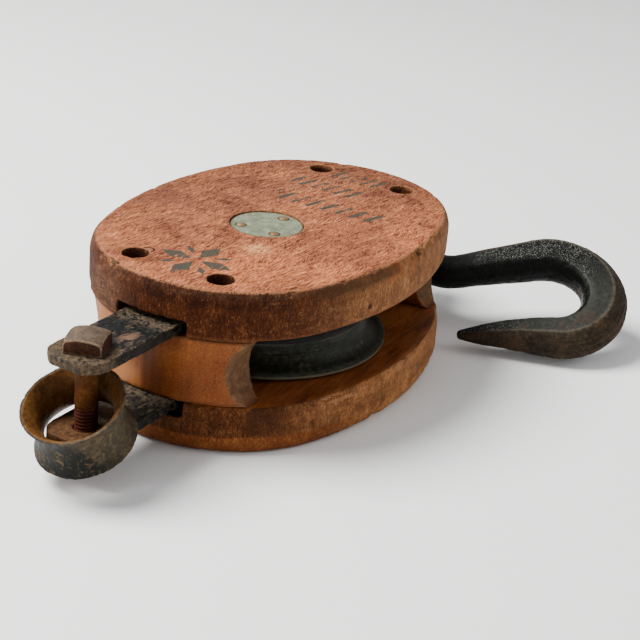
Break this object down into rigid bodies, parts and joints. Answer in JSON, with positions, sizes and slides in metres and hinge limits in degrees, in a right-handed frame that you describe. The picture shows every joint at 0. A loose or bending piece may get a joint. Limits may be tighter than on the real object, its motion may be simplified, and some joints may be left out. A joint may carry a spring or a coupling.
{
  "type": "rope block",
  "caption": "Single sheave wooden rope block with an inner iron strap, a loose hook in the crown and a thimble on the becket bolt.",
  "frame": {"origin": "the sheave pin's axis where it meets the plane of the lower cheek's outer face", "axes": "+X along the block towards the hook end, +Z along the sheave pin towards the upper cheek"},
  "size_m": [0.3293, 0.208, 0.0768],
  "materials": {
    "upper_cheek": "worn, oiled",
    "lower_cheek": "worn, oiled",
    "becket_filler": "varnished",
    "hook_filler": "varnished",
    "strap": "worn black paint",
    "centre_pin": "greased",
    "sheave": "satin black",
    "sheave_bush": "bored",
    "upper_pin_plate": "weathered zinc",
    "lower_pin_plate": "weathered zinc",
    "upper_plate_nails": "tarnished",
    "lower_plate_nails": "tarnished",
    "shell_rivets": "rusty",
    "rivet_burrs": "rusty",
    "becket_bolt": "rusty",
    "thimble": "brown patina",
    "hook": "black, worn"
  },
  "bodies": {
    "shell": {"upper_cheek": "upper_cheek", "lower_cheek": "lower_cheek", "becket_filler": "becket_filler", "hook_filler": "hook_filler", "strap": "strap", "centre_pin": "centre_pin", "upper_pin_plate": "upper_pin_plate", "lower_pin_plate": "lower_pin_plate", "upper_plate_nails": "upper_plate_nails", "lower_plate_nails": "lower_plate_nails", "shell_rivets": "shell_rivets", "rivet_burrs": "rivet_burrs", "becket_bolt": "becket_bolt"},
    "sheave": {"sheave": "sheave", "sheave_bush": "sheave_bush"},
    "thimble": {"thimble": "thimble"},
    "hook": {"hook": "hook"}
  },
  "joints": [
    {"name": "sheave_spin", "type": "hinge", "parent": "shell", "child": "sheave", "pos_m": [0, 0, 0.0384], "axis": [0, 0, 1], "continuous": true},
    {"name": "hook_swing", "type": "hinge", "parent": "shell", "child": "hook", "pos_m": [0.126, 0, 0.0384], "axis": [0, 0, 1], "range_deg": [-5, 198]},
    {"name": "thimble_rock", "type": "hinge", "parent": "shell", "child": "thimble", "pos_m": [-0.1184, 0, 0.0232], "axis": [0, 1, 0], "range_deg": [0, 25]}
  ]
}
